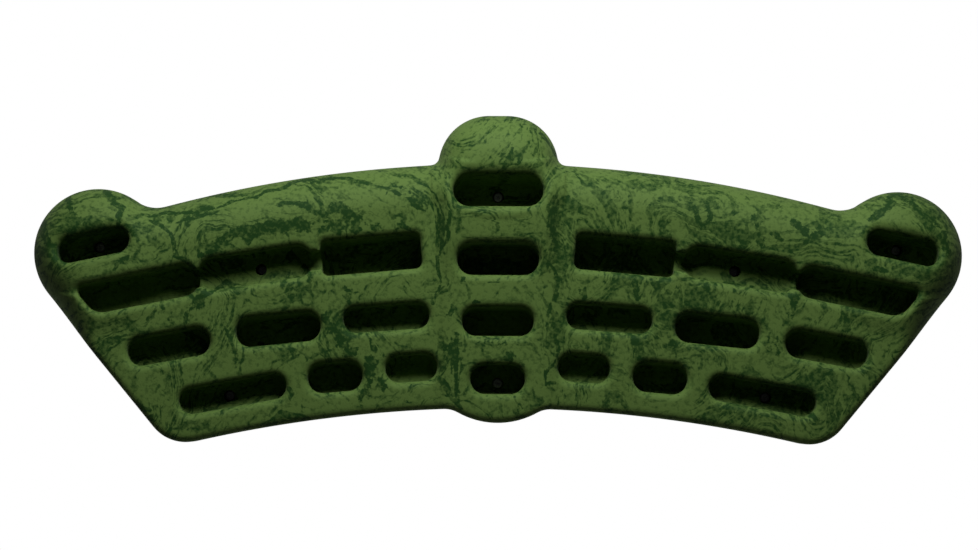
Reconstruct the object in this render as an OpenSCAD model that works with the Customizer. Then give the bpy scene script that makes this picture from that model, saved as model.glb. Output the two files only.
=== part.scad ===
// Cast-resin hangboard with its eight mounting screws.
// X runs across the board, Z up, and the board's flat back lies in the plane y = 0 facing +Y.
// The climbing face points to -Y. A depth is a distance from the back towards -Y.
// All sizes are in millimetres.

/* [Board outline] */
// Radius of the arched top edge
top_radius = 1127; // [1100:1:1160]
// Height of the top edge at the middle, above the datum
top_rise = 101.8; // [99:0.1:104]
// Radius of the arched bottom edge
bottom_radius = 1198; // [1160:1:1240]
// Height of the bottom edge at the middle, above the datum
bottom_rise = -114; // [-116:0.1:-112]
// Distance of each corner jug's centre from the middle
jug_x = 352.5; // [350:0.5:357]
// Height of each corner jug's centre
jug_z = 21; // [19:0.5:28]
// Radius of each corner jug's round end
jug_radius = 57; // [53:0.5:58]
// Distance of each lower corner's centre from the middle
foot_x = 274.5; // [270:0.5:277]
// Radius of each lower corner
foot_radius = 36; // [33:0.5:38]

/* [Centre column] */
// Half the distance between the two round ends of the centre bump
bump_spread = 8; // [6:0.5:10]
// Height of the centre bump's axis
bump_z = 98.7; // [97:0.1:100]
// Radius of the centre bump's round ends
bump_radius = 45; // [44:0.5:47]
// Half the width of the column below the bump
column_half = 50; // [48:0.5:51]
// How far the column stands proud of the face
column_proud = 4; // [3:0.5:6]
// Radius of the bulge under the column
bulge_radius = 72; // [68:1:76]
// Height of the bulge's lowest point
bulge_low_z = -127; // [-129:0.1:-126]

/* [Depth] */
// Depth of the face at the height of the datum
face_depth = 62; // [60:0.5:64]
// Depth that the face loses for each millimetre down
face_taper = 0.12; // [0.1:0.01:0.14]
// Radius of the sloper along the top edge
sloper_radius = 40; // [36:1:42]
// Radius of the front edge along the sides and the bottom
edge_radius = 14; // [12:1:15]
// Depth of the corner jugs
jug_depth = 74; // [72:1:76]
// Depth of the centre bump
bump_depth = 80; // [78:1:82]
// Radius of the front edge round the jugs and the bump
dome_radius = 26; // [22:1:28]

/* [Screws] */
// Depth of each screw's seat
seat_depth = 16; // [15:0.5:17]
// Diameter of the counterbores
counterbore_d = 10; // [9.8:0.1:10.6]
// Diameter of the clearance holes
clearance_d = 5.5; // [5.2:0.1:5.8]
// Outer diameter of the ring bosses in the corner jugs
boss_d = 16; // [14:0.5:17]
// Height of the ring bosses above the jug's floor
boss_h = 3; // [2:0.5:4]
// Diameter of the pan heads
head_d = 9; // [8.6:0.1:9.2]
// Height of the pan heads
head_h = 3.2; // [2.8:0.1:3.6]
// Diameter of the plain shank
shank_d = 3.9; // [3.6:0.1:4.4]
// Outside diameter of the thread
thread_d = 4.8; // [4.6:0.1:5]
// Length of each screw under its head
screw_length = 60; // [50:1:70]

/* [Hidden] */
$fn = 96;
resin_green = "#4f6b3a";
screw_steel = "silver";

top_centre = [0, top_rise - top_radius];
bottom_centre = [0, bottom_rise - bottom_radius];
jug_centre = [-jug_x, jug_z];
// Rounds that only touch would leave a cusp, so they run into each other by this much.
bite = 0.3;
// The lower corners meet the bottom edge's circle from above.
foot_z = bottom_centre[1] + sqrt(pow(bottom_radius + foot_radius - bite, 2) - foot_x * foot_x);
foot_centre = [-foot_x, foot_z];
bump_end = [-bump_spread, bump_z];
bulge_centre = [0, bulge_low_z + bulge_radius];
jug_fillet = 30;
bump_fillet = 8;
bulge_fillet = 24;
past = 40;

// Pockets as [x, z, width, height, tilt, depth below the face, inward drop of the floor in degrees].
// x is negative on the left side, and the tilt raises the end nearer the middle.
SIDE_POCKETS = [
    [-355, 28, 64, 22, 12, 48, 10],
    [-214.5, 8, 106, 28, 9, 27, 0],
    [-289, -61, 73, 24, 10.5, 31, 3],
    [-193, -45, 74.5, 25, 6, 42, 6],
    [-98, -35, 75.5, 22, 4, 28, 2],
    [-233, -102.5, 95, 22, 10.4, 26, 0],
    [-143, -87, 48, 25.5, 5, 36, 4],
    [-76, -79, 45.5, 23.5, 4, 26, 2]
];
CENTRE_POCKETS = [
    [0, 76, 79, 28, 0, 50, 10],
    [0, 16.5, 72, 27, 0, 44, 4],
    [0, -38, 63, 24.5, 0, 40, 4],
    [0, -88.8, 48, 25.5, 0, 33, 0]
];
SQUARE_POCKET = [-111.5, 20.7, 88, 30, 5, 46, 6];
square_corner = 6;
// The outer pocket of the second row, whose outer end leans in at the bottom like the board's side.
SLANTED_POCKET = [-315, -11, 111, 27, 12, 36, 4];
slant = 12;
slant_corner = 9;
// The three pockets of the second row run into each other through these narrower necks.
ROW_NECKS = [[-264, -1.5, 30, 16, 10.5, 24, 0], [-161, 14.5, 30, 16, 7, 24, 0]];

jug_screw = [-353, 27];
edge_screw = [-209, 7.5];
lower_screw = [-237, -104];
centre_jug_screw = [0, 73];
bottom_screw = [0, -92];

// Depth of the tapered face at a distance r from the centre of the top edge's circle.
function face_at_radius(r) = face_depth + face_taper * (r + top_centre[1]);

function face_at(p) = face_at_radius(norm(p - top_centre));

// The point at distance ra from a and rb from b, on the left of the way from a to b.
function meeting(a, b, ra, rb) =
    let (d = norm(b - a), along = (d * d + ra * ra - rb * rb) / (2 * d))
    let (across = sqrt(ra * ra - along * along), u = (b - a) / d)
    a + along * u + across * [-u[1], u[0]];

// The way out of the board, square to the straight side that touches the jug and the lower corner.
side_run = foot_centre - jug_centre;
side_lean = asin((jug_radius - foot_radius) / norm(side_run));
side_angle = atan2(side_run[1], side_run[0]) - 90 + side_lean;
side_out = [cos(side_angle), sin(side_angle)];
side_top = jug_centre + jug_radius * side_out;
side_low = foot_centre + foot_radius * side_out;

// A round front edge seen in section: from the wall's line at depth d - r, in steps, to past the face.
function edge_points(d, r) = [for (a = [0:22.5:67.5]) [r - r * cos(a), d - r + r * sin(a)]];

function flip(p) = [-p[0], p[1]];

module both_sides() {
    children();
    mirror([1, 0, 0]) children();
}

// Stands a shape drawn in X and Z on the back plane and gives it a depth.
module stand(depth) {
    rotate([90, 0, 0]) linear_extrude(height = depth) children();
}

// Turns a section drawn as radius and depth about an axis square to the board.
module turn(centre) {
    translate([centre[0], 0, centre[1]]) rotate([90, 0, 0]) rotate_extrude($fn = 360) children();
}

// Fills the hollow between two touching shapes with a concave round about the point m.
module hollow_round(touch_a, m, touch_b, inside, radius) {
    difference() {
        polygon([touch_a, m, touch_b, inside]);
        translate(m) circle(r = radius + bite / 2);
    }
}

module jug_hollow() {
    m = meeting(jug_centre, top_centre, jug_radius + jug_fillet, top_radius + jug_fillet);
    inside = meeting(jug_centre, top_centre, jug_radius, top_radius) - [0, 1];
    hollow_round(jug_centre + (m - jug_centre) * jug_radius / (jug_radius + jug_fillet), m,
                 top_centre + (m - top_centre) * top_radius / (top_radius + jug_fillet), inside, jug_fillet);
}

module bump_hollow() {
    m = meeting(top_centre, bump_end, top_radius + bump_fillet, bump_radius + bump_fillet);
    inside = meeting(top_centre, bump_end, top_radius, bump_radius) - [0, 1];
    hollow_round(top_centre + (m - top_centre) * top_radius / (top_radius + bump_fillet), m,
                 bump_end + (m - bump_end) * bump_radius / (bump_radius + bump_fillet), inside, bump_fillet);
}

module bulge_hollow() {
    m = meeting(bottom_centre, bulge_centre, bottom_radius - bulge_fillet, bulge_radius + bulge_fillet);
    inside = meeting(bottom_centre, bulge_centre, bottom_radius, bulge_radius) + [0, 1];
    hollow_round(bottom_centre + (m - bottom_centre) * bottom_radius / (bottom_radius - bulge_fillet), m,
                 bulge_centre + (m - bulge_centre) * bulge_radius / (bulge_radius + bulge_fillet), inside,
                 bulge_fillet);
}

// The arched band between the two edge circles and the straight sides.
module band_shape() {
    difference() {
        intersection() {
            translate(top_centre) circle(r = top_radius, $fn = 720);
            polygon([side_top, side_low, foot_centre, bottom_centre, flip(foot_centre), flip(side_low),
                     flip(side_top), flip(jug_centre), [jug_x - jug_radius, 2 * top_rise],
                     [jug_radius - jug_x, 2 * top_rise], jug_centre]);
        }
        translate(bottom_centre) circle(r = bottom_radius, $fn = 720);
    }
}

// Section of the sloper and the tapered face, about the top edge's centre.
module sloper_section() {
    inner = top_radius - 270;
    axis_r = top_radius - sloper_radius;
    axis_d = face_at_radius(axis_r) - sloper_radius * sqrt(1 + face_taper * face_taper);
    polygon([[inner, 0], [axis_r, 0], [axis_r, face_at_radius(axis_r)], [inner, face_at_radius(inner)]]);
    translate([axis_r - 1, 0]) square([sloper_radius + 1, axis_d]);
    translate([axis_r, axis_d]) circle(r = sloper_radius);
}

// Section that rounds the front of the bottom edge, about the bottom edge's centre.
module bottom_section() {
    rim = face_at([0, bottom_rise]);
    polygon(concat([[bottom_radius, 0]],
                   [for (p = edge_points(rim, edge_radius)) [bottom_radius + p[0], p[1]]],
                   [[bottom_radius + 3 * past, rim + past], [bottom_radius + 300, rim + past],
                    [bottom_radius + 300, 0]]));
}

// Section of a round end with a rounded front edge.
module dome_section(radius, depth, edge) {
    square([radius - edge, depth]);
    square([radius, depth - edge]);
    intersection() {
        translate([radius - edge, depth - edge]) circle(r = edge);
        square([radius, depth]);
    }
}

// Section of a round end whose front edge is cut like the bottom edge, open towards the front.
module foot_section(radius, rim) {
    polygon(concat([[0, 0], [radius, 0]],
                   [for (p = edge_points(rim, edge_radius)) [radius - p[0], p[1]]],
                   [[0, rim + past]]));
}

// Takes a flat off the front edge of the straight side, at an angle from the side's wall.
module side_bevel(lean) {
    run = norm(side_top - side_low);
    rise = face_at(side_top) - face_at(side_low);
    translate([side_low[0], -face_at(side_low), side_low[1]])
        rotate([0, 180 - side_angle, 0])
        rotate([atan2(rise, run), 0, 0])
        translate([0, edge_radius * (1 - tan(lean / 2)), 0])
        rotate([0, 0, lean])
        translate([-past, -2 * past, -past]) cube([past, 4 * past, run + 2 * past]);
}

module band() {
    difference() {
        intersection() {
            stand(face_depth + past) band_shape();
            turn(top_centre) sloper_section();
            turn(bottom_centre) bottom_section();
        }
        both_sides() {
            side_bevel(30);
            side_bevel(60);
        }
    }
}

module lower_corners() {
    intersection() {
        both_sides() turn(foot_centre) foot_section(foot_radius, face_at(side_low));
        turn(top_centre) sloper_section();
    }
}

module corner_jugs() {
    both_sides() {
        turn(jug_centre) dome_section(jug_radius, jug_depth, dome_radius);
        stand(face_at(jug_centre) - sloper_radius) jug_hollow();
    }
}

module bump() {
    both_sides() {
        turn(bump_end) dome_section(bump_radius, bump_depth, dome_radius);
        stand(face_depth - sloper_radius) bump_hollow();
    }
    translate([-bump_spread, 0, bump_z]) rotate([90, 0, 90])
        linear_extrude(height = 2 * bump_spread)
        rotate(90) dome_section(bump_radius, bump_depth, dome_radius);
}

// Side view of the column as depth and height: the jug's lip, the proud face and the bulge's front.
module column_section() {
    lip_z = 56;
    run_out = 26;
    foot_z = bulge_low_z + 16;
    polygon([[0, bump_z], [bump_depth, bump_z], [bump_depth, lip_z],
             [face_at([0, lip_z - run_out]) + column_proud, lip_z - run_out],
             [face_at([0, foot_z]) + column_proud, foot_z],
             [face_at([0, foot_z]) - 4, foot_z - 9], [0, foot_z - 9 - past]]);
}

module column() {
    intersection() {
        union() {
            stand(bump_depth + past) translate([-column_half, bulge_centre[1]])
                square([2 * column_half, bump_z - bulge_centre[1]]);
            turn(bulge_centre) foot_section(bulge_radius, face_at([0, bulge_low_z]) + column_proud);
        }
        translate([-bulge_radius - 1, 0, 0]) rotate([90, 0, 90])
            linear_extrude(height = 2 * bulge_radius + 2) mirror([1, 0]) column_section();
    }
    both_sides() stand(face_depth - sloper_radius) bulge_hollow();
}

module stadium(w, h) {
    square([w - h, h], center = true);
    translate([(w - h) / 2, 0]) circle(d = h);
    translate([(h - w) / 2, 0]) circle(d = h);
}

module square_slot(w, h) {
    square([w, h - 2 * square_corner], center = true);
    square([w - 2 * square_corner, h], center = true);
    for (x = [-1, 1], z = [-1, 1])
        translate([x * (w / 2 - square_corner), z * (h / 2 - square_corner)]) circle(r = square_corner);
}

module slanted_slot(w, h) {
    hull() {
        translate([(w - h) / 2, 0]) circle(d = h);
        translate([slant_corner - w / 2, h / 2 - slant_corner]) circle(r = slant_corner);
        translate([slant_corner - w / 2 + slant, slant_corner - h / 2]) circle(r = slant_corner);
    }
}

// Places a slot's outline on the face and sinks it, turned along its row and dropping inwards.
module sink(p) {
    translate([p[0], -face_at([p[0], p[1]]), p[1]])
        rotate([0, -p[4], 0]) rotate([-p[6], 0, 0]) translate([0, p[5], 0])
        stand(p[5] + past) children();
}

module pockets() {
    for (p = CENTRE_POCKETS) sink(p) stadium(p[2], p[3]);
    both_sides() {
        for (p = SIDE_POCKETS) sink(p) stadium(p[2], p[3]);
        for (p = ROW_NECKS) sink(p) square([p[2], p[3]], center = true);
        sink(SQUARE_POCKET) square_slot(SQUARE_POCKET[2], SQUARE_POCKET[3]);
        sink(SLANTED_POCKET) slanted_slot(SLANTED_POCKET[2], SLANTED_POCKET[3]);
    }
}

// A rod square to the board between two depths.
module rod(p, d, from, to) {
    translate([p[0], -from, p[1]]) rotate([90, 0, 0]) cylinder(d = d, h = to - from);
}

module screw_hole(p) {
    rod(p, clearance_d, -past, seat_depth + past);
    rod(p, counterbore_d, seat_depth, bump_depth + past);
}

module resin_board() {
    jug_pocket = SIDE_POCKETS[0];
    jug_floor = face_at(jug_screw) - jug_pocket[5];
    color(resin_green) difference() {
        union() {
            difference() {
                union() {
                    band();
                    lower_corners();
                    corner_jugs();
                    bump();
                    column();
                }
                pockets();
            }
            both_sides() rod(jug_screw, boss_d, seat_depth - 4, jug_floor + boss_h);
        }
        both_sides() for (p = [jug_screw, edge_screw, lower_screw]) screw_hole(p);
        screw_hole(centre_jug_screw);
        screw_hole(bottom_screw);
    }
}

module pan_head_section() {
    crown = 0.9;
    square([head_d / 2, head_h - crown]);
    square([head_d / 2 - crown, head_h]);
    translate([head_d / 2 - crown, head_h - crown]) circle(r = crown, $fn = 32);
}

// A pan-head wood screw with a cross recess: head at the seat, plain shank in the board, thread behind.
module screw(p) {
    plain = seat_depth + 1;
    tip = 5;
    recess = 1.8;
    color(screw_steel) {
        difference() {
            translate([p[0], -seat_depth, p[1]]) rotate([90, 0, 0]) rotate_extrude() pan_head_section();
            for (turned = [0, 90])
                translate([p[0], -seat_depth - head_h, p[1]]) rotate([0, turned, 0])
                    cube([head_d / 2, 2 * recess, 1.1], center = true);
        }
        rod(p, shank_d, -plain + seat_depth, seat_depth);
        rod(p, thread_d, seat_depth - screw_length + tip, seat_depth - plain);
        translate([p[0], screw_length - tip - seat_depth, p[1]]) rotate([-90, 0, 0])
            cylinder(d1 = thread_d, d2 = 0.6, h = tip);
    }
}

resin_board();
screw(jug_screw);  // screw_jug_left
screw(flip(jug_screw));  // screw_jug_right
screw(edge_screw);  // screw_edge_left
screw(flip(edge_screw));  // screw_edge_right
screw(lower_screw);  // screw_lower_left
screw(flip(lower_screw));  // screw_lower_right
screw(centre_jug_screw);  // screw_centre_jug
screw(bottom_screw);  // screw_bottom_centre
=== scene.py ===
"""Looks of a cast-resin hangboard: the marbled casting, its eight screws and a plain studio stage."""

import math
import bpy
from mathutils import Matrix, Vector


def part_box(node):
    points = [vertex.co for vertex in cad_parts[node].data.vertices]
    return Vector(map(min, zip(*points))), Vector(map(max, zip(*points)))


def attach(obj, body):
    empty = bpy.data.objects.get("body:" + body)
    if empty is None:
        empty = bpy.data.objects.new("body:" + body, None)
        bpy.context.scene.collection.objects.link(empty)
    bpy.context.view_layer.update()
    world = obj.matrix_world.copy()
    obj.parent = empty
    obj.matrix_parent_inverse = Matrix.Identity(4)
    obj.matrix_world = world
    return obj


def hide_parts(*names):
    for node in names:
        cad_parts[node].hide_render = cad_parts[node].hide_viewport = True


bl_info = {
    "name": "Cast resin hangboard",
    "version": (1, 0, 0),
    "blender": (4, 5, 0),
    "location": "3D Viewport > Sidebar > Hangboard",
    "description": "Makes a marbled resin hangboard with its mounting screws around a packed frame",
    "category": "Object",
}

import bpy
import numpy as np
import openvdb
from mathutils import Matrix, Vector

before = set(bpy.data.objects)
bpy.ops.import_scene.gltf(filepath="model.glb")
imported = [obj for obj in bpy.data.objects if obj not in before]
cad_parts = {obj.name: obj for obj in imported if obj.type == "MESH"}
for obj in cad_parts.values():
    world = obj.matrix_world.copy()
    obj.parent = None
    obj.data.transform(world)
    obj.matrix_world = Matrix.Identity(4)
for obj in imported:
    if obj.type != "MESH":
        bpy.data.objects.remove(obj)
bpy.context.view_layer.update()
BOARD_LOW, BOARD_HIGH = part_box("resin_board")
SCREWS = sorted(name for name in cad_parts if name.startswith("screw_"))
MM = 0.001
FAR = 1000.0


def linear(hex_colour):
    """An sRGB hex colour as linear red, green, blue and alpha."""
    channels = [int(hex_colour[i : i + 2], 16) / 255 for i in (1, 3, 5)]
    curved = [c / 12.92 if c <= 0.04045 else ((c + 0.055) / 1.055) ** 2.4 for c in channels]
    return (*curved, 1.0)


def length(name, text, default, **more):
    return bpy.props.FloatProperty(name=name, description=text, default=default, unit="LENGTH", **more)


def colour(name, text, hex_colour):
    return bpy.props.FloatVectorProperty(
        name=name, description=text, default=linear(hex_colour), size=4, subtype="COLOR", min=0, max=1
    )


def add_node(tree, kind, inputs=None, **settings):
    """Adds a node with its settings, then sets or links its inputs by name or number."""
    node = tree.nodes.new(kind)
    for name, value in settings.items():
        setattr(node, name, value)
    for name, value in (inputs or {}).items():
        if isinstance(value, bpy.types.NodeSocket):
            tree.links.new(value, node.inputs[name])
        else:
            node.inputs[name].default_value = value
    return node


# Noise at this scale has lumps about 1 m wide, so it is divided by the width that the lumps should have.
LUMP = 0.6
# Places of a Mix node's two colours and its result among its sockets, several of which share a name.
MIX_A = 6
MIX_B = 7
MIX_RESULT = 2


def new_material(name, **constants):
    """A material with a Principled shader whose constants are set on its own sockets."""
    material = bpy.data.materials.new(name)
    material.use_nodes = True
    shader = material.node_tree.nodes["Principled BSDF"]
    for socket, value in constants.items():
        shader.inputs[socket.replace("_", " ")].default_value = value
    return material, material.node_tree, shader


def only(thing):
    """Leaves one object selected and active."""
    bpy.ops.object.select_all(action="DESELECT")
    thing.select_set(True)
    bpy.context.view_layer.objects.active = thing


def apply_modifier(thing, kind, **settings):
    """Adds a modifier and applies it."""
    only(thing)
    modifier = thing.modifiers.new(kind.title(), kind)
    for name, value in settings.items():
        setattr(modifier, name, value)
    bpy.ops.object.modifier_apply(modifier=modifier.name)


def settle(thing):
    """Puts a finished piece's place into its mesh and leaves its object at the origin."""
    only(thing)
    bpy.ops.object.transform_apply(location=True, rotation=True, scale=True)


def remove(thing):
    bpy.data.objects.remove(thing, do_unlink=True)


class CastingSizes(bpy.types.PropertyGroup):
    """Sizes of the cast board that a maker would change."""

    voxel: length("Voxel", "Size of the cells that the casting is worked out in", 1.6 * MM)
    top_radius: length("Top radius", "Radius of the arched top edge", 1127 * MM)
    bottom_radius: length("Bottom radius", "Radius of the arched bottom edge", 1198 * MM)
    face_depth: length("Face depth", "Depth of the face at the middle of the board", 62 * MM)
    face_taper: bpy.props.FloatProperty(
        name="Face taper", description="Depth that the face gains for each unit up", default=0.12
    )
    sloper_round: length("Sloper", "Radius of the sloper along the top edge", 40 * MM)
    edge_round: length("Edges", "Radius of the front edge along the sides and the bottom", 7 * MM)
    jug_round: length("Jug edges", "Radius of the front edge round the jugs and the bump", 38 * MM)
    low_lip: length("Lower lips", "Radius of the pockets' lower lips", 7 * MM)
    top_lip: length("Upper lips", "Radius of the pockets' upper lips", 6.5 * MM)
    jug_lip: length("Jug lips", "Radius of the jugs' upper lips", 10 * MM)
    floor_round: length("Pocket floors", "Radius between a pocket's walls and its floor", 7 * MM)


# ---------------------------------------------------------------- the casting, worked out as distances

# Distances below are in millimetres, x across, z up and d forward from the back; only x <= 0 is worked out.
# Height of the two arched edges at the middle of the board.
TOP_RISE = 101.8
BOTTOM_RISE = -114.0
# The corner jug's centre and radius, then the lower corner's x and radius.
JUG = (-352.5, 21.0, 57.0)
FOOT = (-274.5, 36.0)
# The bump's half straight, height and radius, then the bulge's height and radius.
BUMP = (8.0, 98.7, 45.0)
BULGE = (-55.0, 72.0)
# The raised column between them: half its width, its lower end and how far it stands out from the face.
COLUMN_HALF = 50.0
COLUMN_FOOT = -108.0
COLUMN_STEP = 4.0
# Concave rounds where the jug, the bump and the bulge meet the arched edges.
JUG_HOLLOW = 30.0
BUMP_HOLLOW = 8.0
BULGE_HOLLOW = 24.0
HOLLOW_REACH = 60.0
# How far the fronts of the bump and the corner jugs are from the back.
BUMP_DEPTH = 80.0
JUG_DEPTH = 74.0
BACK_ROUND = 2.0
# How far past a pocket's edge its lips can change the casting.
LIP_REACH = 34.0

# Pockets on the left half: x, z, width, height, tilt in degrees, depth, inward drop in degrees, corner, slant.
# A corner of None makes the ends full rounds, and a slant leans the outer end in at the bottom.
POCKETS = {
    "centre_jug": (0, 76, 79, 28, 0, 50, 10, None, 0),
    "centre_row_2": (0, 16.5, 72, 27, 0, 44, 4, None, 0),
    "centre_row_3": (0, -38, 63, 24.5, 0, 40, 4, None, 0),
    "centre_row_4": (0, -88.8, 48, 25.5, 0, 33, 0, None, 0),
    "corner_jug": (-355, 28, 64, 22, 12, 48, 10, None, 0),
    "edge_row_outer": (-316.5, -11.3, 109, 27, 12, 36, 4, 10, 0.5),
    "edge_row_middle": (-213, 8.2, 101, 28, 9, 27, 0, None, 0),
    "edge_row_inner": (-111.5, 20.7, 88, 30, 5, 46, 6, 6, 0),
    "edge_row_outer_neck": (-264, -1.5, 30, 16, 10.5, 24, 0, 4, 0),
    "edge_row_inner_neck": (-161, 14.5, 30, 16, 7, 24, 0, 4, 0),
    "third_row_outer": (-289, -61, 73, 24, 10.5, 31, 3, None, 0),
    "third_row_middle": (-193, -45, 74.5, 25, 6, 42, 6, None, 0),
    "third_row_inner": (-98, -35, 75.5, 22, 4, 28, 2, None, 0),
    "bottom_row_outer": (-233, -102.5, 95, 22, 10.4, 26, 0, None, 0),
    "bottom_row_middle": (-143, -87, 48, 25.5, 5, 36, 4, None, 0),
    "bottom_row_inner": (-76, -79, 45.5, 23.5, 4, 26, 2, None, 0),
}


def smooth_step(low, high, value):
    t = np.clip((value - low) / (high - low), 0, 1)
    return t * t * (3 - 2 * t)


def round_meet(a, b, radius):
    """The overlap of two solids, each given as a distance, with a round of this radius where they meet."""
    corner = np.hypot(np.maximum(a + radius, 0), np.maximum(b + radius, 0))
    return np.minimum(-radius, np.maximum(a, b)) + corner


def circles_meet(a, b, radius_a, radius_b):
    """The point at one distance from a and another from b, on the left of the way from a to b."""
    a, b = np.array(a, float), np.array(b, float)
    apart = np.hypot(*(b - a))
    along = (apart**2 + radius_a**2 - radius_b**2) / (2 * apart)
    across = math.sqrt(radius_a**2 - along**2)
    u = (b - a) / apart
    return a + along * u + across * np.array([-u[1], u[0]])


class Plan:
    """The board's outline seen from the front: how far inside it each point lies, and how far outside."""

    def __init__(self, sizes, x, z):
        self.x, self.z = x, z
        self.top_radius = sizes.top_radius / MM
        self.bottom_radius = sizes.bottom_radius / MM
        self.top = (0.0, TOP_RISE - self.top_radius)
        self.bottom = (0.0, BOTTOM_RISE - self.bottom_radius)
        foot_up = math.sqrt((self.bottom_radius + FOOT[1]) ** 2 - FOOT[0] ** 2)
        self.foot = (FOOT[0], self.bottom[1] + foot_up)
        self.from_top = np.hypot(x - self.top[0], z - self.top[1])
        self.from_jug = np.hypot(x - JUG[0], z - JUG[1])
        self.from_bump = np.hypot(np.maximum(np.abs(x) - BUMP[0], 0), z - BUMP[1])
        shapes = [self.band(), self.from_jug - JUG[2], self.from_bump - BUMP[2]]
        shapes.append(np.hypot(x, z - BULGE[0]) - BULGE[1])
        column_ends = np.maximum(z - BUMP[1], COLUMN_FOOT - z)
        shapes.append(np.maximum(np.abs(x) - COLUMN_HALF, column_ends))
        shapes += [self.hollow(*h) for h in self.hollows()]
        inside = sum(np.maximum(-s, 0) ** 4 for s in shapes) ** 0.25
        self.distance = np.where(inside > 0, -inside, np.minimum.reduce(shapes))

    def side_out(self):
        """The way out of the board, square to the straight side that touches the jug and the foot."""
        run = np.array(self.foot) - np.array(JUG[:2])
        lean = math.asin((JUG[2] - FOOT[1]) / np.hypot(*run))
        angle = math.atan2(run[1], run[0]) - math.pi / 2 + lean
        return np.array([math.cos(angle), math.sin(angle)])

    def between(self, apex, first, last):
        """Which points lie between two directions from an apex."""
        det = first[0] * last[1] - first[1] * last[0]
        px, pz = self.x - apex[0], self.z - apex[1]
        return ((px * last[1] - pz * last[0]) / det > 0) & ((first[0] * pz - first[1] * px) / det > 0)

    def band(self):
        """The arched band between the two edge circles and the straight side, up to the corner jug."""
        out = self.side_out()
        px, pz = self.x - JUG[0], self.z - JUG[1]
        side = px * out[0] + pz * out[1] - JUG[2]
        under = self.bottom_radius - np.hypot(self.x, self.z - self.bottom[1])
        from_foot = np.hypot(self.x - self.foot[0], self.z - self.foot[1])
        in_foot = self.between(self.foot, out, np.array(self.bottom) - np.array(self.foot))
        edges = np.where(in_foot, from_foot - FOOT[1], np.maximum(side, under))
        up = np.array([JUG[2], 2 * TOP_RISE - JUG[1]])
        up = up / np.hypot(*up)
        beyond_jug = np.minimum(-(pz * out[0] - px * out[1]), pz * up[0] - px * up[1])
        return np.maximum(np.maximum(edges, self.from_top - self.top_radius), beyond_jug)

    def hollows(self):
        """Centre, radius and the two touched points of each concave round in the outline."""
        jug, bump, bulge = JUG[:2], (-BUMP[0], BUMP[1]), (0.0, BULGE[0])
        for a, b, ra, rb, radius, turned in (
            (jug, self.top, JUG[2], self.top_radius, JUG_HOLLOW, 1),
            (self.top, bump, self.top_radius, BUMP[2], BUMP_HOLLOW, 1),
            (self.bottom, bulge, self.bottom_radius, BULGE[1], BULGE_HOLLOW, -1),
        ):
            first = ra + turned * radius
            m = circles_meet(a, b, first, rb + radius)
            touch_a = np.array(a) + (m - np.array(a)) * ra / first
            touch_b = np.array(b) + (m - np.array(b)) * rb / (rb + radius)
            yield m, radius, touch_a, touch_b

    def hollow(self, m, radius, touch_a, touch_b):
        """A concave round as a distance, which counts only between the two points that it touches."""
        away = np.hypot(self.x - m[0], self.z - m[1])
        filled = self.between(m, touch_a - m, touch_b - m) & (away < radius + HOLLOW_REACH)
        return np.where(filled, radius - away, FAR)


def face_heights(sizes, plan):
    """How far the front stands out at each point of the outline, before its edges are rounded."""
    taper = sizes.face_taper
    face = sizes.face_depth / MM + taper * (plan.from_top + plan.top[1])
    column = 1 - smooth_step(40, 57, np.abs(plan.x))
    bump = np.maximum(column * smooth_step(-5, 75, plan.z), 1 - smooth_step(42, 62, plan.from_bump))
    near_jug = 1 - smooth_step(30, 75, plan.from_jug)
    raised = COLUMN_STEP * column + (BUMP_DEPTH - COLUMN_STEP - face) * bump
    return face + raised + (JUG_DEPTH - face) * near_jug


def edge_radii(sizes, plan):
    """The radius of the front edge, which changes smoothly from the sides to the sloper and the jugs."""
    sloper = smooth_step(plan.top_radius - 110, plan.top_radius - 45, plan.from_top)
    radius = sizes.edge_round / MM + (sizes.sloper_round - sizes.edge_round) / MM * sloper
    near_jug = (1 - smooth_step(50, 90, plan.from_jug)) * smooth_step(-12, 32, plan.z)
    near_bump = 1 - smooth_step(40, 75, plan.from_bump)
    for near in (near_jug, near_bump):
        radius += (sizes.jug_round / MM - radius) * near
    return radius


def pocket_distance(sizes, plan, pocket, x, z, d):
    """Distance to one pocket's hollow: a slot that follows its row and drops as it goes in."""
    px, pz, width, height, tilt, depth, drop, corner, slant = pocket
    c, s = math.cos(math.radians(tilt)), math.sin(math.radians(tilt))
    reach = math.hypot(px, pz - plan.top[1]) + plan.top[1]
    face = sizes.face_depth / MM + sizes.face_taper * reach
    along = (x - px) * c + (z - pz) * s
    across = (z - pz) * c - (x - px) * s + math.tan(math.radians(drop)) * (face - d)
    # A slanted pocket's inner end is a full round.
    round_end = height / 2
    corner = round_end if corner is None else np.where((along > 0) & (slant > 0), round_end, corner)
    lean = slant * np.clip(height / 2 - across, 0, height)
    right = np.maximum(along, -along + lean) - width / 2 + corner
    up = np.abs(across) - height / 2 + corner
    wall = np.hypot(np.maximum(right, 0), np.maximum(up, 0)) + np.minimum(np.maximum(right, up), 0) - corner
    return round_meet(wall, face - depth - d, sizes.floor_round / MM), across / height + 0.5


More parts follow.
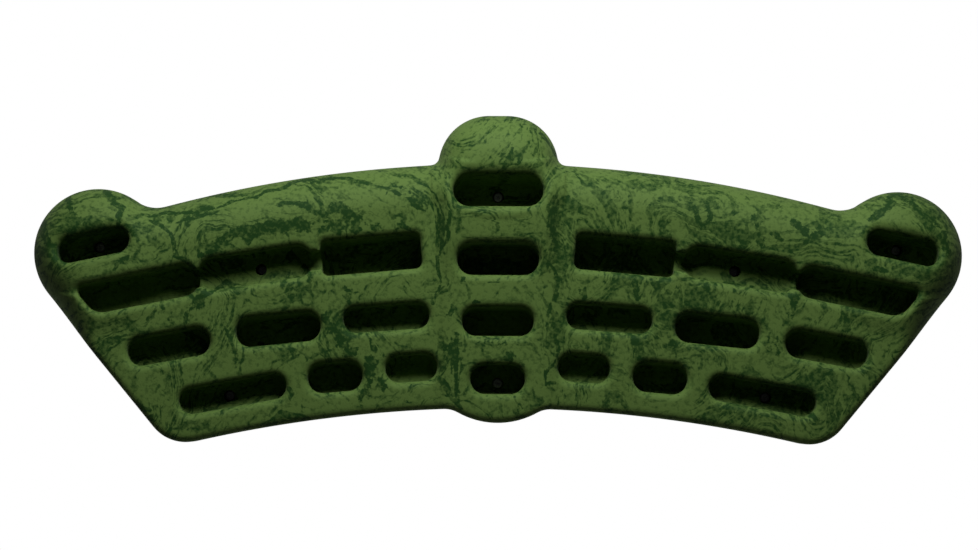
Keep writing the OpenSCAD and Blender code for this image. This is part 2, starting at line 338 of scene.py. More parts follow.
def casting_distance(sizes, x, z, d):
    """Distance to the whole casting on a grid of the left half: x and z in plan, d the depths."""
    plan = Plan(sizes, x[:, None], z[None, :])
    outline = plan.distance[:, :, None]
    front = d[None, None, :] - face_heights(sizes, plan)[:, :, None]
    body = round_meet(outline, front, edge_radii(sizes, plan)[:, :, None])
    hollow = np.full_like(body, FAR)
    lips = np.full_like(body, sizes.low_lip / MM)
    for name, pocket in POCKETS.items():
        px, pz, width, height = pocket[:4]
        rise = width / 2 * math.sin(math.radians(pocket[4]))
        i = np.abs(x - px) < width / 2 + LIP_REACH
        k = np.abs(z - pz) < height / 2 + rise + LIP_REACH
        block = np.ix_(i, k, np.ones(len(d), bool))
        gap, height_share = pocket_distance(
            sizes, plan, pocket, x[i][:, None, None], z[k][None, :, None], d[None, None, :]
        )
        nearer = gap < hollow[block]
        top = sizes.jug_lip if name.endswith("jug") else sizes.top_lip
        lip = sizes.low_lip + (top - sizes.low_lip) * smooth_step(0.1, 0.9, height_share)
        lips[block] = np.where(nearer, lip / MM, lips[block])
        hollow[block] = np.minimum(hollow[block], gap)
    body = round_meet(body, -hollow, lips)
    return round_meet(body, -np.broadcast_to(d[None, None, :], body.shape), BACK_ROUND)


def skin_of(field, voxel, corner):
    """The surface where a field of distances is zero, as points and polygons."""
    grid = openvdb.FloatGrid(background=10.0)
    grid.copyFromArray(np.ascontiguousarray(field, dtype=np.float32))
    points, triangles, quads = grid.convertToPolygons(isovalue=0.0, adaptivity=0.0)
    points = points * voxel + np.array(corner)
    return points, triangles, quads


def cast_board(sizes):
    """The left half worked out, mirrored, and turned into a mesh in metres in the frame's place."""
    voxel = sizes.voxel / MM
    left = math.floor(BOARD_LOW[0] / MM / voxel - 3) * voxel
    x = np.arange(left, voxel / 2, voxel)
    z = np.arange(BOARD_LOW[2] / MM - 3 * voxel, BOARD_HIGH[2] / MM + 3 * voxel, voxel)
    d = np.arange(-3 * voxel, -BOARD_LOW[1] / MM + 3 * voxel, voxel)
    half = casting_distance(sizes, x, z, d)
    field = np.concatenate([half, half[-2::-1]])
    points, triangles, quads = skin_of(field, voxel, (x[0], z[0], d[0]))
    places = np.stack([points[:, 0], -points[:, 2], points[:, 1]], axis=1) * MM
    mesh = bpy.data.meshes.new("resin_casting")
    mesh.from_pydata(places.tolist(), [], [*triangles.tolist(), *quads.tolist()])
    mesh.update()
    board = bpy.data.objects.new("resin_casting", mesh)
    bpy.context.scene.collection.objects.link(board)
    return board


# ---------------------------------------------------------------- how the resin was stirred

# Where the wet resin was swirled, in millimetres: the place x, z and its reach, then the way from there to the
# pivot that the streaks run round.
SWIRLS = (
    (100, 72, 46, -45, -58), (66, 92, 22, -30, -30), (186, 52, 21, -2, 15), (218, 58, 26, -34, -56),
    (255, 40, 32, 4, 40), (298, 36, 28, -6, 38), (352, 60, 34, -30, -22), (345, 2, 32, -42, 2),
    (385, 20, 24, -40, 0), (36, 22, 24, -27, 0), (36, -34, 22, -25, 6), (36, -80, 24, -25, 5),
    (0, 44, 22, -42, 10), (0, -10, 22, -30, 30), (0, -62, 22, -35, 36), (0, 118, 34, -40, 36),
    (-42, 0, 26, -32, 0), (-44, 62, 26, -34, -14), (-42, -60, 26, -30, -8), (95, -5, 24, -36, 8),
    (140, -12, 24, -31, 10), (185, -20, 24, -26, 12), (240, -28, 26, -31, 10), (290, -42, 26, -31, 10),
    (88, -60, 26, -30, 5), (138, -68, 24, -30, 12), (192, -76, 28, -36, 0), (255, -78, 30, -24, 40),
    (302, -96, 28, -32, -12), (170, -112, 34, -20, 46), (60, -112, 30, -30, 24), (-112, 76, 44, 2, -58),
    (-60, 70, 22, -44, -40), (-200, 46, 44, 30, 60), (-250, -38, 44, -40, 22), (-330, -58, 44, 34, -42),
    (-150, -58, 40, 32, 30), (-98, -98, 34, -30, 32), (-342, 44, 34, -24, 34), (-290, 30, 34, -40, 8),
    (-190, -106, 36, 20, -44), (-110, -12, 30, -20, 34), (-180, -14, 30, -30, 24),
)
# Strokes of dark resin that were barely stirred in, and along the raised column's edges strokes of painted
# shade, in millimetres: from x, z to x, z, and the half width.
STROKES_AND_COLUMN_SHADE = (
    (-378, 71, -369, 47, 3), (-369, 47, -378, 33, 3.5), (-345, 74, -330, 58, 2.5), (-330, 58, -334, 43, 2),
    (-402, 47, -391, 28, 3.5), (-391, 28, -385, 21, 4.5), (-385, 21, -391, 8, 3.5), (-323, 17, -336, 6, 2),
    (-304, 49, -286, 39, 1.5), (-286, 39, -284, 23, 2), (-284, 23, -273, 14, 2), (-273, 14, -265, 4, 2.5),
    (-301, 54, -266, 57, 1.5), (-266, 57, -227, 67, 1.5), (-227, 67, -192, 78, 1.5),
    (-192, 78, -166, 87, 1.5), (-166, 87, -131, 87, 1.5), (-131, 87, -104, 80, 1.5),
    (-104, 80, -82, 71, 1.5), (-82, 71, -67, 58, 1.5), (-279, 49, -244, 58, 1.5), (-260, 17, -247, 25, 3.5),
    (-247, 25, -236, 39, 4.5), (-236, 39, -218, 41, 4), (-218, 41, -196, 43, 4.5), (-196, 43, -174, 49, 4),
    (-174, 49, -157, 45, 3), (-192, 65, -172, 63, 2), (-172, 63, -152, 54, 3.5), (-152, 54, -139, 63, 5.5),
    (-139, 63, -126, 43, 5.5), (-157, 43, -139, 41, 4), (-126, 54, -109, 43, 2.5),
    (-231, 33, -218, 30, 1.5), (-183, 21, -166, 4, 2.5), (-236, -3, -227, -14, 2),
    (-258, -14, -271, -32, 3), (-271, -27, -275, -45, 2), (-238, -5, -266, -21, 2),
    (-293, -27, -284, -40, 1.5), (-275, -49, -258, -62, 4), (-240, -45, -231, -62, 2),
    (-231, -62, -231, -80, 2), (-166, -1, -152, -21, 3.5), (-152, -21, -148, -27, 3),
    (-139, -14, -131, -21, 2), (-152, -36, -139, -53, 3), (-139, -53, -131, -67, 4),
    (-131, -67, -109, -62, 2.5), (-109, -67, -113, -88, 4.5), (-113, -88, -120, -106, 3),
    (-183, -62, -166, -71, 2), (-183, -97, -179, -110, 2), (-179, -110, -166, -115, 2),
    # Strokes here and on the next lines whose x lies roughly 30 to 56 mm either side of the middle follow the
    # raised column's edges: painted shade, not resin.
    (-104, -88, -98, -97, 2), (-104, -104, -78, -108, 2), (-41, -58, -39, -84, 2),
    (-30, -71, -39, -93, 2.5), (-52, -88, -39, -102, 2.5), (-39, -102, -34, -115, 2), (50, 61, 53, 53, 4.5),
    (46, 53, 51, 27, 3.5), (44, 15, 53, 1, 1.5), (53, 1, 51, -19, 2), (51, -19, 41, -33, 1.5),
    (38, -39, 50, -47, 1.5), (50, -47, 53, -64, 2), (53, -64, 44, -82, 1.5), (-43, 58, -44, 38, 1.5),
    (-44, 38, -50, 21, 1.5), (-53, 18, -51, -2, 1.5), (-51, -2, -56, -22, 1.5), (-29, -2, -36, -24, 1.5),
    (-36, -24, -46, -34, 1.5), (-2, -3, -16, -16, 1.5), (-16, -16, -21, -22, 1.5), (4, 115, 10, 98, 2),
    (13, 112, 11, 100, 1.5), (21, 110, 17, 98, 1.5), (38, 127, 50, 110, 1.5), (-37, -50, -47, -64, 2.5),
    (-4, -53, 10, -62, 2.5), (10, -62, 11, -70, 2), (-33, -73, -19, -59, 1.5), (-53, -87, -41, -99, 2),
    (-41, -99, -36, -107, 1.5), (-7, -113, 1, -116, 2.5), (21, -116, 33, -104, 1.5),
    (36, -96, 50, -90, 1.5), (-101, 84, -81, 77, 1.5), (-81, 77, -67, 61, 1.5), (-104, 55, -79, 43, 1.5),
    (71, -2, 77, -17, 3), (91, -2, 94, -14, 2.5), (118, -5, 121, -17, 2.5), (138, -2, 144, -20, 3.5),
    (182, -5, 188, -20, 3), (205, -11, 211, -26, 2.5), (229, -17, 234, -29, 2), (258, -17, 258, -37, 3.5),
    (302, -29, 307, -46, 2), (116, -49, 126, -69, 3.5), (135, -55, 144, -64, 2.5),
    (153, -55, 156, -67, 2.5), (240, -49, 246, -78, 3.5), (106, 71, 112, 62, 2.5), (167, 71, 179, 46, 2),
    (179, 46, 186, 50, 2), (186, 50, 183, 65, 2), (223, 53, 232, 30, 2), (258, 50, 270, 41, 2.5),
    (270, 33, 284, 41, 2.5), (217, 33, 234, 28, 2), (240, 39, 258, 24, 2), (293, -93, 299, -107, 2.5),
    (307, -90, 310, -102, 2.5), (270, -113, 281, -122, 3), (176, -105, 182, -119, 2.5),
    (199, -113, 211, -119, 2), (328, 53, 345, 68, 3), (363, 65, 380, 50, 3), (345, 74, 363, 71, 2.5),
    (389, 41, 394, 24, 2.5), (328, 9, 345, 6, 2),
)


def waves(x, z, width, turn):
    """A smooth made-up unevenness between -1 and 1, of lumps about this many millimetres wide."""
    k = math.pi / width
    total = np.zeros_like(x)
    for i in range(4):
        c, s = math.cos(turn + 2.1 * i), math.sin(turn + 2.1 * i)
        total += np.sin(k * (1 + 0.23 * i) * (x * c + z * s) + 1.7 * turn + 2.9 * i)
    return total / 4


def stirring(places, top_radius):
    """How far out each point lies in its swirl, how streaky the resin is there, and how far inside a stroke;
    the strokes along the raised column's edges are painted shade.
    """
    x, z = places[:, 0] / MM, places[:, 2] / MM
    # The strokes waver a little and the swirls much more.
    bx = x + 2.5 * waves(x, z, 17, 1.3)
    bz = z + 2.5 * waves(x, z, 15, 3.1)
    wx = bx + 9 * waves(x, z, 55, 0.4)
    wz = bz + 9 * waves(x, z, 48, 2.2)
    from_edge = np.hypot(wx, wz - TOP_RISE + top_radius) - top_radius
    top = 1.6 * np.exp(-((np.minimum(from_edge, 0) / 20) ** 2)) * smooth_step(55, 110, np.abs(x))
    weight, out = top + 1e-6, top * from_edge
    for cx, cz, reach, pivot_x, pivot_z in SWIRLS:
        pull = np.exp(-(((wx - cx) ** 2 + (wz - cz) ** 2) / reach**2))
        turn = np.hypot(wx - cx - pivot_x, wz - cz - pivot_z) - math.hypot(pivot_x, pivot_z)
        weight, out = weight + pull, out + pull * turn
    swirl = out / weight
    streaky = 0.22 + 0.6 * smooth_step(-40, 60, x) + 0.25 * top + 0.2 * waves(x, z, 60, 5.0)
    in_stroke_and_column_shade = np.full_like(x, -1.0)
    for x1, z1, x2, z2, half_width in STROKES_AND_COLUMN_SHADE:
        run_x, run_z = x2 - x1, z2 - z1
        share = np.clip(((bx - x1) * run_x + (bz - z1) * run_z) / (run_x**2 + run_z**2), 0, 1)
        away = np.hypot(bx - x1 - share * run_x, bz - z1 - share * run_z)
        in_stroke_and_column_shade = np.maximum(in_stroke_and_column_shade, 1 - away / half_width)
    return np.stack([swirl * MM, streaky, in_stroke_and_column_shade], axis=1)


def mark_stirring(board, sizes):
    """Stores the stirring at each point of the board, for the resin's pattern to follow."""
    mesh = board.data
    places = np.empty(len(mesh.vertices) * 3, np.float32)
    mesh.vertices.foreach_get("co", places)
    stirred = stirring(places.reshape(-1, 3), sizes.top_radius / MM)
    attribute = mesh.attributes.new("stirring", "FLOAT_VECTOR", "POINT")
    attribute.data.foreach_set("vector", stirred.astype(np.float32).ravel())


class BoreSizes(bpy.types.PropertyGroup):
    """Sizes of the screw places and their screws."""

    seat: length("Seat depth", "Depth of each screw's seat, from the back", 16 * MM)
    counterbore: length("Counterbore", "Diameter of the counterbores", 10 * MM)
    clearance: length("Clearance", "Diameter of the clearance holes", 5.5 * MM)
    ring: length("Ring", "Outer diameter of the rings round the corner jugs' screws", 16 * MM)
    ring_top: length("Ring top", "Depth of those rings' faces, from the back", 27 * MM)
    head: length("Head", "Diameter of the pan heads", 9 * MM)
    head_height: length("Head height", "Height of the pan heads", 3.2 * MM)
    shank: length("Shank", "Diameter of the plain shank", 3.9 * MM)
    thread: length("Thread", "Outside diameter of the thread", 4.8 * MM)
    pitch: length("Pitch", "Distance between two turns of the thread", 2.2 * MM)
    steel: colour("Steel", "Colour of the zinc plating", "#6f706e")
    crystal: colour("Crystals", "Lighter colour of the plating's crystals", "#8d8f90")


POINT = 5 * MM
POINT_TIP = 0.5 * MM
# How far behind the board the plain shank ends, then the thread's first turn and its depth.
SHANK_END = 1 * MM
THREAD_START = 1.8 * MM
THREAD_DEPTH = 0.65 * MM
# The cross recess: how long and wide each of its two slots is, how deep, and its width at the bottom.
RECESS_LONG = 4.6 * MM
RECESS_WIDE = 1.1 * MM
RECESS_DEEP = 1.8 * MM
RECESS_DRAFT = 0.55


def add_rod(diameter, near, far, x=0.0, z=0.0, sides=64):
    """A closed rod square to the board between two depths; its first cap faces the front."""
    bpy.ops.object.select_all(action="DESELECT")
    place, turn = (x, -(near + far) / 2, z), (math.pi / 2, 0, 0)
    bpy.ops.mesh.primitive_cylinder_add(
        vertices=sides, radius=diameter / 2, depth=near - far, location=place, rotation=turn
    )
    rod = bpy.context.object
    bpy.ops.object.transform_apply(location=True, rotation=True, scale=True)
    return rod


def select_at(thing, depth, slack=1e-5):
    """In edit mode, selects only the faces that lie at one depth."""
    bpy.ops.mesh.select_mode(type="FACE")
    bpy.ops.mesh.select_all(action="DESELECT")
    bpy.ops.object.mode_set(mode="OBJECT")
    for face in thing.data.polygons:
        face.select = all(abs(thing.data.vertices[v].co.y + depth) < slack for v in face.vertices)
    bpy.ops.object.mode_set(mode="EDIT")


def selected_points(thing):
    """In edit mode, the places of the selected points as they are now."""
    bpy.ops.object.mode_set(mode="OBJECT")
    chosen = [v.co.copy() for v in thing.data.vertices if v.select]
    bpy.ops.object.mode_set(mode="EDIT")
    return chosen


def carve(thing, cutter, operation="DIFFERENCE"):
    """Cuts or joins with another closed shape, which is used up."""
    apply_modifier(thing, "BOOLEAN", object=cutter, operation=operation, solver="EXACT")
    remove(cutter)


def screw_place(name):
    low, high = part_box(name)
    return (low.x + high.x) / 2, (low.z + high.z) / 2


def bore(board, sizes):
    """Adds the rings in the corner jugs, then cuts every counterbore and clearance hole."""
    for name in SCREWS:
        x, z = screw_place(name)
        if abs(x) > 0.3:
            ring = add_rod(sizes.ring, sizes.ring_top, sizes.seat - 4 * MM, x, z)
            bpy.ops.object.mode_set(mode="EDIT")
            select_at(ring, sizes.ring_top)
            bpy.ops.mesh.bevel(offset=1.2 * MM, segments=4, affect="EDGES")
            bpy.ops.object.mode_set(mode="OBJECT")
            carve(board, ring, "UNION")
    for name in SCREWS:
        x, z = screw_place(name)
        drill = add_rod(sizes.counterbore, 90 * MM, sizes.seat, x, z)
        bpy.ops.object.mode_set(mode="EDIT")
        select_at(drill, sizes.seat)
        bpy.ops.mesh.inset(thickness=(sizes.counterbore - sizes.clearance) / 2)
        bpy.ops.mesh.extrude_region_move(TRANSFORM_OT_translate={"value": (0, sizes.seat + 5 * MM, 0)})
        bpy.ops.object.mode_set(mode="OBJECT")
        carve(board, drill)


def zinc_material(sizes):
    """Hardened steel, bright zinc plated: a cool grey with a soft sheen and a faint crystal mottle."""
    material, tree, shader = new_material("zinc_plated_steel", Metallic=1.0)
    place = add_node(tree, "ShaderNodeTexCoord").outputs["Object"]
    scales = {"Vector": place, "Scale": LUMP / (0.7 * MM), "Detail": 3.0}
    mottle = add_node(tree, "ShaderNodeTexNoise", scales).outputs["Fac"]
    shine = {"Value": mottle, "From Min": 0.3, "From Max": 0.7, "To Min": 0.3, "To Max": 0.48}
    tree.links.new(add_node(tree, "ShaderNodeMapRange", shine).outputs[0], shader.inputs["Roughness"])
    colours = {0: mottle, MIX_A: sizes.steel, MIX_B: sizes.crystal}
    tint = add_node(tree, "ShaderNodeMix", colours, data_type="RGBA")
    tree.links.new(tint.outputs[MIX_RESULT], shader.inputs["Base Color"])
    heights = {"Height": mottle, "Strength": 0.15, "Distance": 0.1 * MM}
    tree.links.new(add_node(tree, "ShaderNodeBump", heights).outputs["Normal"], shader.inputs["Normal"])
    return material


def pan_head_screw(sizes, tip):
    """One screw at the middle of the board: a domed head with a cross recess, a plain shank and a root."""
    front = sizes.seat + sizes.head_height
    screw = add_rod(sizes.head, front, sizes.seat)
    bpy.ops.object.mode_set(mode="EDIT")
    select_at(screw, front)
    bpy.ops.mesh.bevel(offset=1.0 * MM, segments=6, affect="EDGES")
    select_at(screw, sizes.seat)
    # The back of the head is drawn in to the shank, then out through the board and down to the point.
    bpy.ops.mesh.inset(thickness=(sizes.head - sizes.shank) / 2)
    root = sizes.thread - 2 * THREAD_DEPTH
    narrowing = 0.6 * MM
    for step, width in (
        (sizes.seat + SHANK_END, sizes.shank),
        (narrowing, root),
        (tip - POINT - SHANK_END - narrowing, root),
        (POINT, POINT_TIP),
    ):
        bpy.ops.mesh.extrude_region_move(TRANSFORM_OT_translate={"value": (0, step, 0)})
        points = selected_points(screw)
        middle = sum(points, Vector()) / len(points)
        share = width / 2 / max((point - middle).length for point in points)
        bpy.ops.transform.resize(value=(share, 1, share), center_override=middle)
    bpy.ops.object.mode_set(mode="OBJECT")
    for turned in (0, math.pi / 2):
        bpy.ops.object.select_all(action="DESELECT")
        bpy.ops.mesh.primitive_cube_add(size=1, location=(0, -front, 0), rotation=(0, turned, 0))
        blade = bpy.context.object
        blade.scale = (RECESS_LONG, 2 * RECESS_DEEP, RECESS_WIDE)
        bpy.ops.object.transform_apply(location=True, rotation=True, scale=True)
        bpy.ops.object.mode_set(mode="EDIT")
        select_at(blade, front - RECESS_DEEP)
        draft = (RECESS_DRAFT, 1, RECESS_DRAFT)
        bpy.ops.transform.resize(value=draft, center_override=(0, RECESS_DEEP - front, 0))
        bpy.ops.object.mode_set(mode="OBJECT")
        carve(screw, blade)
    return screw


def thread_ridge(sizes, tip):
    """The thread: a sharp ridge wound round the root from the back of the board to the start of the point."""
    bpy.ops.object.select_all(action="DESELECT")
    bpy.ops.mesh.primitive_circle_add(vertices=3, radius=0.5 * MM, fill_type="NOTHING")
    ridge = bpy.context.object
    crest, inside = sizes.thread / 2, sizes.thread / 2 - 0.85 * MM
    corners = ((crest, 0.0), (inside, 0.55 * MM), (inside, -0.55 * MM))
    for vertex, (r, up) in zip(ridge.data.vertices, corners):
        vertex.co = (r, THREAD_START + up, 0)
    turns = int((tip - POINT - THREAD_START) / sizes.pitch)
    apply_modifier(
        ridge, "SCREW", axis="Y", angle=2 * math.pi, screw_offset=sizes.pitch, iterations=turns, steps=20,
        render_steps=20, use_normal_calculate=True,
    )
    bpy.ops.object.mode_set(mode="EDIT")
    bpy.ops.mesh.select_mode(type="EDGE")
    bpy.ops.mesh.select_all(action="DESELECT")
    bpy.ops.mesh.select_non_manifold()
    bpy.ops.mesh.fill()
    bpy.ops.mesh.select_all(action="SELECT")
    bpy.ops.mesh.normals_make_consistent(inside=False)
    bpy.ops.object.mode_set(mode="OBJECT")
    return ridge


class ResinLook(bpy.types.PropertyGroup):
    """Colours of the two resins and the scale of their marbling."""

    light: colour("Light resin", "Colour of the resin that most of the board is cast in", "#567035")
    dark: colour("Dark resin", "Colour of the resin that is stirred in", "#193a11")
    grain: length("Grain", "Width of one grain of the sandy surface", 2.2 * MM)
    streak: length("Streak", "Width of one dark streak and its gap", 2.6 * MM)
    patch: length("Patch", "Width of one dark patch, across its streaks", 8 * MM)


# Each kind of step in the resin's recipe: the node, the inputs that its values go to in turn, and its settings.
RANGE = ("Value", "From Min", "From Max", "To Min", "To Max")
STEPS_OF_RESIN = {
    "noise": ("ShaderNodeTexNoise", ("Vector", "Scale", "Detail", "Roughness"), {}),
    "ramp": ("ShaderNodeMapRange", RANGE, {"interpolation_type": "LINEAR"}),
    "soft ramp": ("ShaderNodeMapRange", RANGE, {"interpolation_type": "SMOOTHSTEP"}),
    "combine": ("ShaderNodeCombineXYZ", ("X", "Y", "Z"), {}),
    "add": ("ShaderNodeMath", (0, 1), {"operation": "ADD"}),
    "add within 0 to 1": ("ShaderNodeMath", (0, 1), {"operation": "ADD", "use_clamp": True}),
    "subtract": ("ShaderNodeMath", (0, 1), {"operation": "SUBTRACT"}),
    "multiply": ("ShaderNodeMath", (0, 1), {"operation": "MULTIPLY"}),
    "multiply and add": ("ShaderNodeMath", (0, 1, 2), {"operation": "MULTIPLY_ADD"}),
    "larger": ("ShaderNodeMath", (0, 1), {"operation": "MAXIMUM"}),
    "absolute": ("ShaderNodeMath", (0,), {"operation": "ABSOLUTE"}),
}


def resin_recipe(look):
    """The steps that work out how dark the resin is: a name, a kind of step, then values or earlier names."""
    # Grit this fine breaks up every border between the two greens.
    steps = [
        ("ragged", "noise", "place", LUMP / (2.6 * MM), 3.0, 0.7),
        ("lumpy", "noise", "place", LUMP / (9 * MM), 2.0, 0.6),
        ("fine_tear", "subtract", "ragged", 0.5),
        ("broad_tear", "subtract", "lumpy", 0.5),
        ("part_torn", "multiply and add", "fine_tear", 2.2 * MM, "swirl"),
        ("torn", "multiply and add", "broad_tear", 7 * MM, "part_torn"),
    ]
    # Each pattern moves on by a share of the swirl across a streak, and slowly along it.
    for name, share, slow, width, detail, roughness in (
        ("patch", 0.85, 0.32, look.patch, 2.0, 0.55),
        ("line", 1.0, 0.13, look.streak, 2.0, 0.6),
        ("wisp", 1.0, 0.30, look.streak * 0.5, 1.0, 0.6),
    ):
        steps += [(f"{name}_{axis}", "multiply", axis, slow) for axis in ("x", "y", "z")]
        steps += [
            (name + "_across", "multiply and add", "torn", share, name + "_x"),
            (name + "_place", "combine", name + "_across", name + "_y", name + "_z"),
            (name, "noise", name + "_place", LUMP / width, detail, roughness),
        ]
    # Patches of dark whose edges are combed out into fine streaks along the swirl.
    steps += [
        ("wisp_level", "subtract", "wisp", 0.5),
        ("lines", "multiply and add", "wisp_level", 0.5, "line"),
        ("level", "multiply and add", "streaky", -0.12, 1.07),
        ("lined_patch", "multiply and add", "lines", 0.9, "patch"),
        ("combed", "subtract", "lined_patch", "level"),
        ("band_edge", "soft ramp", "combed", -0.02, 0.08, 0.0, 1.0),
        ("band_depth", "multiply and add", "streaky", -0.30, 1.02),
        ("band", "multiply", "band_edge", "band_depth"),
        ("near_band", "ramp", "combed", -0.16, -0.02, 0.0, 1.0),
        ("faint", "multiply", "near_band", 0.65),
        ("line_edge", "soft ramp", "lines", 0.5, 0.62, 0.0, 1.0),
        ("comb", "multiply", "line_edge", "faint"),
    ]
    # Thin crooked threads of dark where the resin was left alone.
    steps += [
        ("bend", "noise", "place", LUMP / (26 * MM), 2.0, 0.5),
        ("lumpy_bend", "multiply and add", "broad_tear", 0.12, "bend"),
        ("ragged_bend", "multiply and add", "ragged", 0.09, "lumpy_bend"),
        ("off_bend", "subtract", "ragged_bend", 0.55),
        ("crooked", "absolute", "off_bend"),
        ("spread", "noise", "place", LUMP / (30 * MM), 1.0, 0.5),
        ("some", "soft ramp", "spread", 0.50, 0.56, 0.0, 1.0),
        ("left_alone", "soft ramp", "streaky", 0.35, 0.7, 1.0, 0.0),
        ("gate", "multiply", "some", "left_alone"),
        ("thin", "soft ramp", "crooked", 0.010, 0.030, 0.8, 0.0),
        ("thread", "multiply", "thin", "gate"),
    ]
    # Strokes of dark with a torn edge, dark resin except along the raised column's edges, where they are
    # painted shade, then the darkest of all of these.
    steps += [
        ("part_shore", "multiply and add", "fine_tear", 2.6, "in_stroke_and_column_shade"),
        ("shore", "multiply and add", "broad_tear", 2.4, "part_shore"),
        ("stroke", "soft ramp", "shore", -0.20, 0.25, 0.0, 1.1),
        ("combed_dark", "larger", "band", "comb"),
        ("drawn_dark", "larger", "thread", "stroke"),
        ("darkness", "larger", "combed_dark", "drawn_dark"),
        ("dark", "multiply", "darkness", 0.88),
    ]
    # Slow changes of tone, and the sand. Real sand is under 1 mm, and is drawn coarser here so that it shows.
    steps += [
        ("slow", "noise", "place", LUMP / (24 * MM), 3.0, 0.6),
        ("patchy", "ramp", "slow", 0.35, 0.7, -0.06, 0.14),
        ("grit", "noise", "place", LUMP / look.grain, 2.0, 0.6),
        ("speck", "ramp", "grit", 0.3, 0.7, 0.50, -0.50),
        ("patchy_dark", "add", "dark", "patchy"),
        ("shade", "add within 0 to 1", "patchy_dark", "speck"),
    ]
    return steps


def resin_material(look):
    """Polyurethane resin cast in an open mould: matt, with a fine sandy grain for the fingers, and two greens
    poured together and stirred, so the dark one lies in streaks round each swirl, ragged where the two meet.
    The dark strokes along the raised column's edges are painted shade."""
    material, tree, shader = new_material("cast_polyurethane_marbled", Roughness=0.7, IOR=1.49)
    shader.inputs["Specular IOR Level"].default_value = 0.12
    shader.inputs["Sheen Weight"].default_value = 0.05
    shader.inputs["Sheen Roughness"].default_value = 0.6
    shader.inputs["Sheen Tint"].default_value = linear("#cfe0b8")
    place = add_node(tree, "ShaderNodeTexCoord").outputs["Object"]
    stirred = add_node(tree, "ShaderNodeAttribute", attribute_name="stirring").outputs["Vector"]
    swirl, streaky, in_stroke_and_column_shade = add_node(tree, "ShaderNodeSeparateXYZ", {"Vector": stirred}).outputs
    x, y, z = add_node(tree, "ShaderNodeSeparateXYZ", {"Vector": place}).outputs
    made = {"place": place, "swirl": swirl, "streaky": streaky, "in_stroke_and_column_shade": in_stroke_and_column_shade, "x": x, "y": y, "z": z}
    for name, step, *values in resin_recipe(look):
        kind, sockets, settings = STEPS_OF_RESIN[step]
        inputs = {socket: made[v] if isinstance(v, str) else v for socket, v in zip(sockets, values)}
        made[name] = add_node(tree, kind, inputs, **settings).outputs[0]
    colours = {0: made["shade"], MIX_A: look.light, MIX_B: look.dark}
    mixed = add_node(tree, "ShaderNodeMix", colours, data_type="RGBA")
    tree.links.new(mixed.outputs[MIX_RESULT], shader.inputs["Base Color"])
    heights = {"Height": made["grit"], "Strength": 0.5, "Distance": 0.5 * MM}
    tree.links.new(add_node(tree, "ShaderNodeBump", heights).outputs["Normal"], shader.inputs["Normal"])
    return material


# ---------------------------------------------------------------- operators


class HANGBOARD_OT_casting(bpy.types.Operator):
    """Casts the resin board and bores its screw places"""

    bl_idname = "hangboard.casting"
    bl_label = "Cast the board"

    def execute(self, context):
        scene = context.scene
        board = cast_board(scene.hangboard_sizes)
        board.data.materials.append(resin_material(scene.hangboard_resin))
        apply_modifier(board, "DECIMATE", ratio=0.35)
        bore(board, scene.hangboard_bores)
        mark_stirring(board, scene.hangboard_sizes)
        only(board)
        bpy.ops.object.shade_smooth_by_angle(angle=math.radians(38))
        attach(board, "root")
        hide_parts("resin_board")
        return {"FINISHED"}


class HANGBOARD_OT_screws(bpy.types.Operator):
    """Makes one mounting screw and puts a copy in each screw place"""

    bl_idname = "hangboard.screws"
    bl_label = "Make the screws"

    def execute(self, context):
        sizes = context.scene.hangboard_bores
        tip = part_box(SCREWS[0])[1].y
        pattern = pan_head_screw(sizes, tip)
        ridge = thread_ridge(sizes, tip)
        only(pattern)
        ridge.select_set(True)
        bpy.ops.object.join()
        pattern.data.materials.clear()
        pattern.data.materials.append(zinc_material(sizes))
        bpy.ops.object.shade_smooth_by_angle(angle=math.radians(35))
        for number, name in enumerate(SCREWS):
            screw = pattern.copy()
            screw.data = pattern.data.copy()
            screw.name = name.replace("screw", "wood_screw")
            context.scene.collection.objects.link(screw)
            x, z = screw_place(name)
            # No two screws stop with their recess at the same angle.
            screw.rotation_euler = (0, math.radians(37 * number), 0)
            screw.location = (x, 0, z)
            settle(screw)
            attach(screw, "root")
            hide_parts(name)
        remove(pattern)
        return {"FINISHED"}


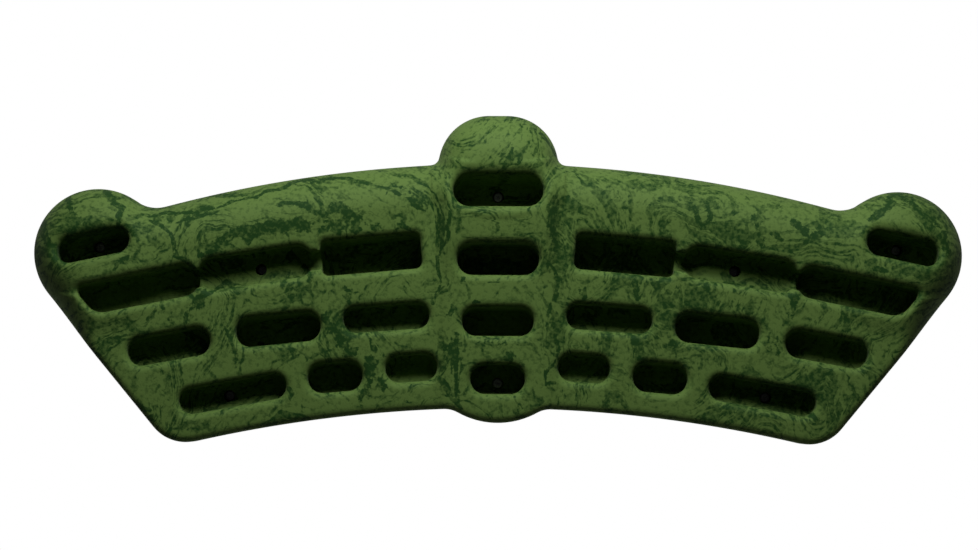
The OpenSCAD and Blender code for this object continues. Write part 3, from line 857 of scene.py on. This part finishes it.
class HANGBOARD_OT_stage(bpy.types.Operator):
    """Adds the floor, the lights and the camera"""

    bl_idname = "hangboard.stage"
    bl_label = "Set the stage"

    def execute(self, context):
        scene = context.scene
        stage = scene.hangboard_stage
        scene.view_settings.view_transform = "Standard"
        bpy.ops.object.select_all(action="DESELECT")
        bpy.ops.mesh.primitive_circle_add(vertices=96, radius=2.0, fill_type="NGON", location=(0, 0, -1.0))
        floor = context.object
        floor.name = "floor"
        material, _, shader = new_material("painted_floor_matt", Roughness=0.9)
        shader.inputs["Base Color"].default_value = linear("#e9e9e6")
        floor.data.materials.append(material)
        settle(floor)
        # The floor is far below the board, so its light doesn't reach up into the pockets.
        floor.visible_diffuse = False

        world = bpy.data.worlds.new("studio")
        world.use_nodes = True
        scene.world = world
        tree = world.node_tree
        # The white backdrop behind the board lights its edges, and the room in front of it is nearly dark.
        way = add_node(tree, "ShaderNodeTexCoord").outputs["Generated"]
        behind = add_node(tree, "ShaderNodeSeparateXYZ", {"Vector": way}).outputs["Y"]
        lit = {"Value": behind, "From Min": -0.05, "From Max": 0.05, "To Min": stage.fill, "To Max": stage.glow}
        glow = add_node(tree, "ShaderNodeMapRange", lit).outputs[0]
        seen = add_node(tree, "ShaderNodeLightPath").outputs["Is Camera Ray"]
        strength = add_node(tree, "ShaderNodeMapRange", {"Value": seen, "To Min": glow, "To Max": 1.0})
        background = tree.nodes["Background"]
        background.inputs["Color"].default_value = (1, 1, 1, 1)
        tree.links.new(strength.outputs[0], background.inputs["Strength"])

        # Both lamps point at the middle of the board.
        for name, place, size, power in (
            ("key", (0.0, -0.80, 0.80), 0.55, stage.key),
            ("front_fill", (0.0, -2.6, 0.3), 1.0, stage.front_fill),
        ):
            lamp = bpy.data.lights.new(name, "AREA")
            lamp.shape = "DISK"
            lamp.size = size
            lamp.energy = power
            holder = bpy.data.objects.new(name, lamp)
            holder.location = place
            holder.rotation_euler = Vector(place).to_track_quat("Z", "Y").to_euler()
            scene.collection.objects.link(holder)

        camera = bpy.data.objects.new("camera", bpy.data.cameras.new("camera"))
        scene.collection.objects.link(camera)
        aim = Vector((-0.0079, -0.062, 0.0026))
        tilt = math.radians(stage.camera_tilt)
        away = Vector((0, -math.cos(tilt), math.sin(tilt)))
        camera.location = aim + away * stage.camera_distance
        roll = Matrix.Rotation(math.radians(stage.camera_roll), 4, "Z")
        camera.rotation_euler = (away.to_track_quat("Z", "Y").to_matrix().to_4x4() @ roll).to_euler()
        camera.data.lens = camera.data.sensor_width * stage.camera_distance / stage.camera_width
        camera.data.clip_end = 50
        scene.camera = camera
        return {"FINISHED"}


class StageSettings(bpy.types.PropertyGroup):
    """Lights and camera."""

    key: bpy.props.FloatProperty(
        name="Key light", description="Power of the key light", default=13.5, unit="POWER"
    )
    front_fill: bpy.props.FloatProperty(
        name="Front fill", description="Power of the light from the camera's side", default=0.12, unit="POWER"
    )
    glow: bpy.props.FloatProperty(name="Glow", description="Light from the white backdrop behind", default=0.34)
    fill: bpy.props.FloatProperty(name="Fill", description="Light from the room in front", default=0.002)
    camera_distance: length("Camera distance", "From the face to the camera", 3.4)
    camera_width: length("View width", "Width that the camera takes in at the face", 0.857)
    camera_tilt: bpy.props.FloatProperty(name="Camera tilt", description="Degrees above level", default=-2)
    camera_roll: bpy.props.FloatProperty(name="Camera roll", description="Degrees anticlockwise", default=0.22)


class HANGBOARD_PT_panel(bpy.types.Panel):
    """Lists the hangboard's sizes, colours and steps"""

    bl_label = "Hangboard"
    bl_space_type = "VIEW_3D"
    bl_region_type = "UI"
    bl_category = "Hangboard"

    def draw(self, context):
        for group in GROUPS:
            for name in GROUPS[group].__annotations__:
                self.layout.prop(getattr(context.scene, group), name)
        for step in STEPS:
            self.layout.operator(step.bl_idname)


GROUPS = {
    "hangboard_sizes": CastingSizes,
    "hangboard_bores": BoreSizes,
    "hangboard_resin": ResinLook,
    "hangboard_stage": StageSettings,
}
STEPS = (HANGBOARD_OT_casting, HANGBOARD_OT_screws, HANGBOARD_OT_stage)


def register():
    for group, kind in GROUPS.items():
        bpy.utils.register_class(kind)
        setattr(bpy.types.Scene, group, bpy.props.PointerProperty(type=kind))
    for kind in (*STEPS, HANGBOARD_PT_panel):
        bpy.utils.register_class(kind)


def unregister():
    for kind in (HANGBOARD_PT_panel, *reversed(STEPS)):
        bpy.utils.unregister_class(kind)
    for group, kind in GROUPS.items():
        delattr(bpy.types.Scene, group)
        bpy.utils.unregister_class(kind)


def main():
    register()
    bpy.ops.hangboard.casting()
    bpy.ops.hangboard.screws()
    bpy.ops.hangboard.stage()


if __name__ == "__main__":
    main()
